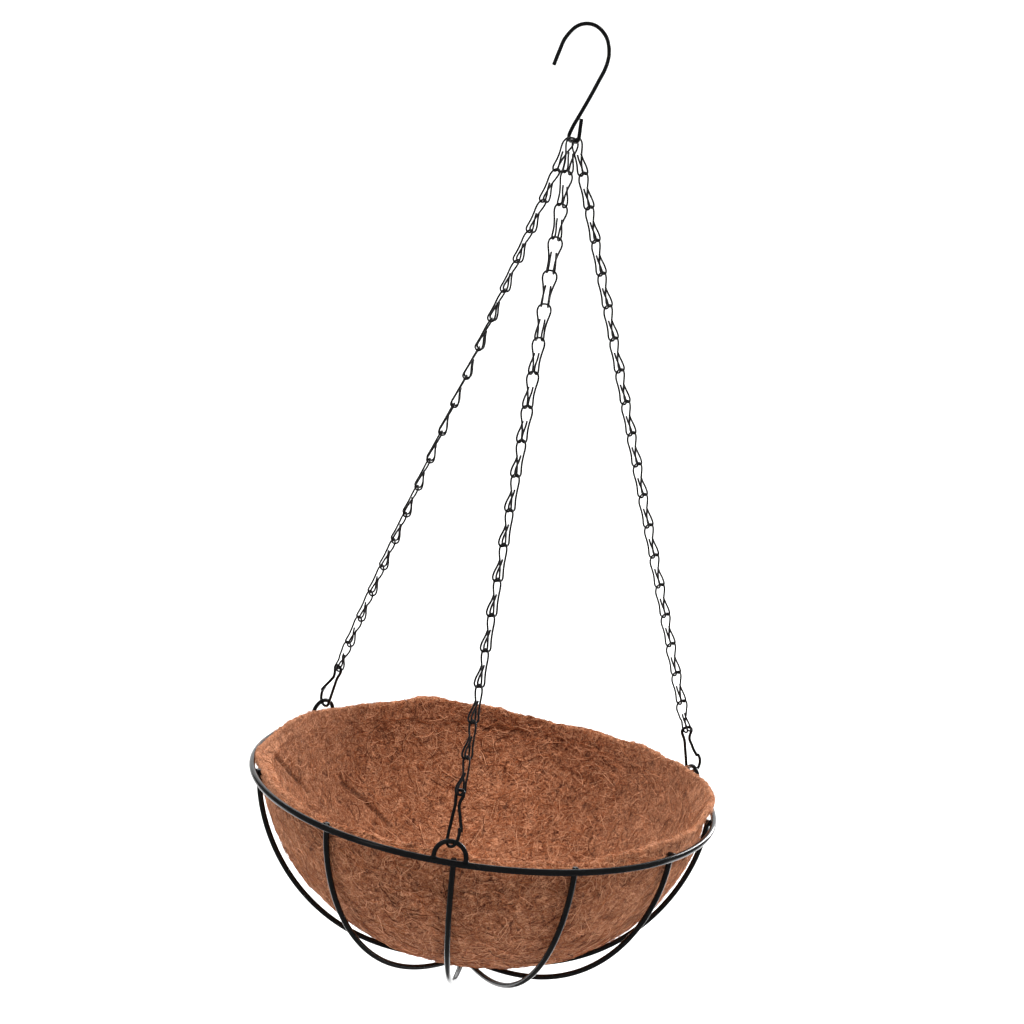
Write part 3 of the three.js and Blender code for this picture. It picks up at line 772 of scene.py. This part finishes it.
def strands(count, v_low, v_high, length, out):
    """Paths of curly fibres that wander over the liner's skin. out lifts the free end of every other one."""
    # start evenly over the surface: more starts where the bowl is wide
    azimuth = rng.uniform(-180, 180, 4 * count)
    v = rng.uniform(v_low, v_high, 4 * count)
    r, _ = profile(azimuth, v)
    keep = np.nonzero(rng.uniform(0, LINER_RADIUS, 4 * count) < r)[0][:count]
    azimuth, v, n = azimuth[keep], v[keep], len(keep)
    total = rng.uniform(*length, n)
    step = total / (STRAND_STEPS - 1)
    heading = rng.uniform(0, 2 * math.pi, n)
    bend = rng.choice([-1, 1], n) * (0.02 + rng.exponential(0.05, n))  # radians per millimetre
    height = rng.uniform(*STRAND_LIFT, n)
    path = np.zeros((n, STRAND_STEPS, 3))
    for s in range(STRAND_STEPS):
        p, normal = skin(azimuth, v)
        t = s / (STRAND_STEPS - 1)
        rise = height * math.sin(math.pi * t) ** 0.6 - 0.25
        rise = rise + out * t**1.6 * rng.uniform(0.5, 1.0, n) * (np.arange(n) % 2 == 0)
        path[:, s] = p + normal * rise[:, None]
        r, _ = profile(azimuth, v)
        azimuth = azimuth + np.degrees(step * np.cos(heading) / np.maximum(r, 6))
        v = np.clip(v + step * np.sin(heading) / SKIN_LENGTH, 0.002, 0.998)
        heading = heading + bend * step + rng.normal(0, 0.22, n)
    return path[clear_of_clips(path)]


def clear_of_clips(path):
    """Which fibres stay clear of the three clips, with the liner down and lifted."""
    clear = np.ones(len(path), bool)
    for low, high in clip_lines:
        axis = high - low
        for lift in (0, LINER_LIFT / 2, LINER_LIFT):
            q = path + vec(0, 0, lift) - low
            t = np.clip(q @ axis / (axis @ axis), 0, 1)
            clear &= np.linalg.norm(q - t[..., None] * axis, axis=2).min(1) > CLIP_ROOM
    return clear


def strand_piece(name, path, thickness):
    """A piece of three-sided closed tubes along many paths, tapered at both ends, each with its own tone."""
    n, steps, _ = path.shape
    tangents = np.gradient(path, axis=1)
    tangents /= np.maximum(np.linalg.norm(tangents, axis=2), 1e-9)[:, :, None]
    side = np.cross(tangents, np.array([0.21, 0.33, 0.92]))
    side /= np.maximum(np.linalg.norm(side, axis=2), 1e-9)[:, :, None]
    other = np.cross(tangents, side)
    t = np.linspace(0, 1, steps)
    taper = np.clip(np.minimum(t, 1 - t) * 6 + 0.3, 0, 1)
    radius = rng.uniform(*thickness, n)[:, None] / 2 * taper[None, :]
    ring = []
    for k in range(3):
        a = k * 2 * math.pi / 3
        ring.append(path + (math.cos(a) * side + math.sin(a) * other) * radius[:, :, None])
    verts = np.stack(ring, 2).reshape(-1, 3)
    one = []
    for s in range(steps - 1):
        for k in range(3):
            m = (k + 1) % 3
            one.append((s * 3 + k, s * 3 + m, s * 3 + 3 + m, s * 3 + 3 + k))
    one = np.array(one)
    caps = np.array([(2, 1, 0), (steps * 3 - 3, steps * 3 - 2, steps * 3 - 1)])
    base = (np.arange(n) * steps * 3)[:, None, None]
    quads, tris = (one[None] + base).reshape(-1, 4), (caps[None] + base).reshape(-1, 3)
    mesh = bpy.data.meshes.new(name)
    mesh.vertices.add(len(verts))
    mesh.vertices.foreach_set("co", (verts * MM).ravel())
    loops = np.concatenate([quads.ravel(), tris.ravel()])
    mesh.loops.add(len(loops))
    mesh.loops.foreach_set("vertex_index", loops.astype(np.int32))
    starts = np.concatenate([np.arange(len(quads)) * 4, len(quads) * 4 + np.arange(len(tris)) * 3])
    mesh.polygons.add(len(starts))
    mesh.polygons.foreach_set("loop_start", starts.astype(np.int32))
    mesh.polygons.foreach_set("use_smooth", np.ones(len(starts), bool))
    mesh.update(calc_edges=True)
    mesh.validate()
    pick = rng.choice(len(FIBRE_TONES), n, p=FIBRE_SHARES)
    colour = FIBRE_TONES[pick] * rng.uniform(0.85, 1.15, n)[:, None]
    # painted sheen: the fibres are paler towards the two sides, as the mat is
    pale = 0.34 * np.clip((np.abs(path[:, 0, :1]) - 70) / 80, 0, 1)
    colour = colour * (1 - pale) + np.array([PAINTED_SHEEN]) * pale
    rgba = np.concatenate([np.repeat(colour, steps * 3, 0), np.ones((n * steps * 3, 1))], 1)
    layer = mesh.color_attributes.new("tone", "FLOAT_COLOR", "POINT")
    layer.data.foreach_set("color", rgba.astype(np.float32).ravel())
    mesh.materials.append(STRAND)
    obj = bpy.data.objects.new(name, mesh)
    bpy.context.scene.collection.objects.link(obj)
    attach(obj, "liner")


for name, count, low, high, length, out, thickness in (
    ("coir_fibres_outside", 4500, 0.02, 0.455, (6, 24), 0.5, (0.2, 0.44)),
    ("coir_fibres_inside", 4500, 0.54, 0.97, (6, 24), 0.5, (0.2, 0.44)),
    ("coir_fibres_edge", 1500, 0.455, 0.545, (4, 13), 2.6, (0.16, 0.32)),
):
    strand_piece(name, strands(count, low, high, length, out), thickness)

# ---- floor, light and camera ----
paper = Nodes("pale_paper")
paper.constant(Base_Color=(0.9, 0.9, 0.9, 1), Roughness=0.9)
paper.drive(normal=paper.bump(paper.noise(300, 2), 0.05, 0.0005))
FLOOR_SIZE, FLOOR_Z, SHEETS_MEET = 2.0, -0.95, 0.2
BACKDROP_Y, BACKDROP_CURVE, BACKDROP_HEIGHT, CURVE_STEPS = 2.4, 1.2, 6.0, 12


def paper_sheet(name, rows, in_gloss):
    """A wide sheet of paper through rows of (y, z). in_gloss says whether the wires reflect it."""
    mesh = bpy.data.meshes.new(name)
    verts = [(x, y, z) for y, z in rows for x in (-FLOOR_SIZE, FLOOR_SIZE)]
    faces = [(i, i + 1, i + 3, i + 2) for i in range(0, 2 * len(rows) - 2, 2)]
    mesh.from_pydata(verts, [], faces)
    mesh.polygons.foreach_set("use_smooth", [True] * len(mesh.polygons))
    mesh.materials.append(paper.material)
    obj = bpy.data.objects.new(name, mesh)
    bpy.context.scene.collection.objects.link(obj)
    obj.visible_glossy = in_gloss


curve = []
for k in range(CURVE_STEPS + 1):
    a = math.pi / 2 * k / CURVE_STEPS
    back, rise = 1 - math.sin(a), 1 - math.cos(a)
    curve.append((BACKDROP_Y - BACKDROP_CURVE * back, FLOOR_Z + BACKDROP_CURVE * rise))
backdrop = [(SHEETS_MEET, FLOOR_Z), *curve, (BACKDROP_Y, FLOOR_Z + BACKDROP_HEIGHT)]
paper_sheet("floor", [(-FLOOR_SIZE, FLOOR_Z), (SHEETS_MEET, FLOOR_Z)], in_gloss=False)
paper_sheet("backdrop", backdrop, in_gloss=True)

# A dim even light from all round. Past the lit paper the camera sees plain white.
AROUND_LIGHT = 0.22
world = bpy.data.worlds.new("studio")
bpy.context.scene.world = world
world.use_nodes = True
studio = world.node_tree
dim, white = studio.nodes["Background"], studio.nodes.new("ShaderNodeBackground")
dim.inputs["Color"].default_value = white.inputs["Color"].default_value = (1, 1, 1, 1)
dim.inputs["Strength"].default_value = AROUND_LIGHT
seen, join = studio.nodes.new("ShaderNodeLightPath"), studio.nodes.new("ShaderNodeMixShader")
studio.links.new(seen.outputs["Is Camera Ray"], join.inputs[0])
studio.links.new(dim.outputs[0], join.inputs[1])
studio.links.new(white.outputs[0], join.inputs[2])
studio.links.new(join.outputs[0], studio.nodes["World Output"].inputs["Surface"])


def softbox(name, place, target, width, height, power, in_gloss=False):
    """A rectangular light at place, turned to target. in_gloss says whether the wires reflect it."""
    light = bpy.data.lights.new(name, "AREA")
    light.shape, light.size, light.size_y, light.energy = "RECTANGLE", width, height, power
    obj = bpy.data.objects.new(name, light)
    bpy.context.scene.collection.objects.link(obj)
    obj.location = place
    obj.rotation_mode = "QUATERNION"
    obj.rotation_quaternion = (Vector(target) - Vector(place)).to_track_quat("-Z", "Y")
    obj.visible_camera = False
    obj.visible_glossy = in_gloss


softbox("softbox_left", (-1.6, -0.3, 1.2), (0, 0, -0.5), 1.1, 1.1, 69)
softbox("softbox_right", (1.6, -0.4, 1.2), (0, 0, -0.5), 1.1, 1.1, 69)
softbox("softbox_top", (0.0, -0.2, 1.5), (0, 0, -0.4), 0.9, 0.6, 9)
softbox("strip_left", (-1.3, -1.0, 0.5), (0, 0, -0.5), 0.12, 1.2, 1.2, in_gloss=True)
softbox("strip_right", (1.1, 1.5, 0.2), (0, 0, -0.5), 0.3, 1.0, 24, in_gloss=True)
softbox("softbox_backdrop", (0, 0.9, 1.7), (0, 2.4, -0.5), 4.0, 0.8, 22)

camera_data = bpy.data.cameras.new("camera")
camera_data.lens, camera_data.sensor_width = 74.9, 36
camera_data.clip_start, camera_data.clip_end = 0.05, 40  # metres
camera = bpy.data.objects.new("camera", camera_data)
bpy.context.scene.collection.objects.link(camera)
CAMERA_PLACE, ELEVATION, ROLL = (-0.0057, -1.3209, -0.0428), math.radians(11.15), math.radians(7.75)
forward = Vector((0, math.cos(ELEVATION), -math.sin(ELEVATION)))
right = Vector((1, 0, 0))
above = right.cross(forward)
turned_right = math.cos(ROLL) * right + math.sin(ROLL) * above
turned_up = -math.sin(ROLL) * right + math.cos(ROLL) * above
facing = Matrix((turned_right, turned_up, -forward)).transposed().to_4x4()
camera.matrix_world = Matrix.Translation(CAMERA_PLACE) @ facing
bpy.context.scene.camera = camera
bpy.context.scene.view_settings.view_transform = "Standard"
